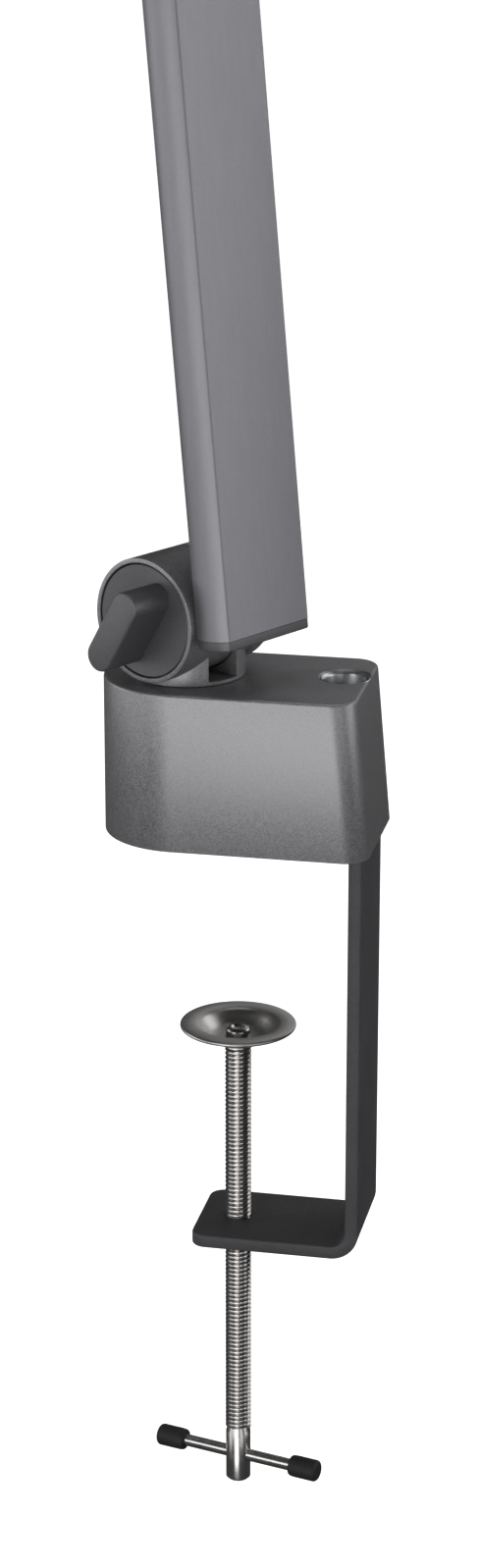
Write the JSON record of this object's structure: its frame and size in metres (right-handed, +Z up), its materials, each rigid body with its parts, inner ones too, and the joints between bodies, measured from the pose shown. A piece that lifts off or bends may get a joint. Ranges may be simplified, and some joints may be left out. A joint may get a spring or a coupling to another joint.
{
  "type": "monitor arm",
  "caption": "Desk-clamped monitor arm: C-clamp with screw and foot, swivelling turret, knob-locked tilting tube arm and a turning head plate.",
  "frame": {"origin": "on the clamp screw's axis, in the face of the pad that rests on the desk top", "axes": "+Z up, +X along the base towards the clamp bracket's upright (away from the desk), +Y towards the back of the base"},
  "size_m": [0.1355, 0.1056, 0.576],
  "materials": {
    "grey_paint": "fine metallic grey paint, satin",
    "anodised_tube": "bead-blasted and grey anodised",
    "graphite": "dark grey satin paint",
    "black_steel": "black powder coat on steel",
    "bright_steel": "bright nickel plate",
    "zinc_steel": "zinc plate",
    "brass": "turned",
    "rubber": "matt black",
    "nylon": "natural acetal"
  },
  "bodies": {
    "base": {"base_shell": "grey_paint", "base_plate": "zinc_steel", "desk_pad": "rubber", "clamp_bracket": "black_steel", "swivel_bush_upper": "nylon", "swivel_bush_lower": "nylon", "accessory_sleeve": "zinc_steel", "bracket_screw_1": "zinc_steel", "bracket_screw_2": "zinc_steel", "plate_screw_1": "zinc_steel", "plate_screw_2": "zinc_steel", "plate_screw_3": "zinc_steel", "plate_screw_4": "zinc_steel"},
    "turret": {"turret_yoke": "grey_paint", "swivel_washer": "zinc_steel", "swivel_screw": "zinc_steel", "pivot_bolt": "zinc_steel", "friction_washer_front": "nylon", "friction_washer_rear": "nylon", "spring_washer": "zinc_steel", "pivot_cover": "graphite"},
    "tilt_knob": {"knob": "graphite", "knob_nut": "brass"},
    "arm": {"arm_tube": "anodised_tube", "lower_hub": "grey_paint", "upper_hub": "grey_paint", "lower_end_cap": "graphite", "upper_end_cap": "graphite", "lower_hub_screw_1": "zinc_steel", "lower_hub_screw_2": "zinc_steel", "upper_hub_screw_1": "zinc_steel", "upper_hub_screw_2": "zinc_steel"},
    "head": {"head_yoke": "grey_paint", "head_pivot_bolt": "zinc_steel", "head_friction_washer_front": "nylon", "head_friction_washer_rear": "nylon", "head_spring_washer": "zinc_steel", "head_pivot_cover": "graphite", "roll_washer": "nylon", "roll_bolt": "zinc_steel"},
    "head_knob": {"head_knob": "graphite", "head_knob_nut": "brass"},
    "plate": {"mount_plate": "black_steel"},
    "foot": {"clamp_dish": "bright_steel"},
    "screw": {"clamp_screw": "bright_steel"},
    "cross_bar": {"tommy_bar": "bright_steel", "bar_cap_left": "rubber", "bar_cap_right": "rubber"}
  },
  "joints": [
    {"name": "swivel", "type": "hinge", "parent": "base", "child": "turret", "pos_m": [-0.015, 0, 0.0482], "axis": [0, 0, 1], "continuous": true},
    {"name": "arm_tilt", "type": "hinge", "parent": "turret", "child": "arm", "pos_m": [-0.015, 0, 0.0675], "axis": [0.4879, 0.8729, 0], "range_deg": [-83, 20]},
    {"name": "tilt_knob_turn", "type": "hinge", "parent": "turret", "child": "tilt_knob", "pos_m": [-0.015, 0, 0.0675], "axis": [0.4879, 0.8729, 0], "range_deg": [-270, 0]},
    {"name": "head_tilt", "type": "hinge", "parent": "arm", "child": "head", "pos_m": [-0.03857, 0.01317, 0.31604], "axis": [0.4879, 0.8729, 0], "range_deg": [-40, 90]},
    {"name": "head_knob_turn", "type": "hinge", "parent": "head", "child": "head_knob", "pos_m": [-0.03857, 0.01317, 0.31604], "axis": [0.4879, 0.8729, 0], "range_deg": [-270, 0]},
    {"name": "plate_roll", "type": "hinge", "parent": "head", "child": "plate", "pos_m": [-0.07118, 0.03312, 0.31604], "axis": [-0.8729, 0.4879, 0], "range_deg": [-90, 90]},
    {"name": "clamp_feed", "type": "slide", "parent": "base", "child": "foot", "axis": [0, 0, 1], "range_m": [-0.055, 0.0585]},
    {"name": "clamp_turn", "type": "hinge", "parent": "foot", "child": "screw", "pos_m": [0, 0, -0.1], "axis": [0, 0, 1], "range_deg": [-14000, 14880]},
    {"name": "bar_slide", "type": "slide", "parent": "screw", "child": "cross_bar", "axis": [0.9694, -0.2453, 0], "range_m": [-0.0135, 0.0135]}
  ],
  "couplings": [
    {"joint": "clamp_feed", "follows": "clamp_turn", "m_per_rad": 0.00022457}
  ]
}
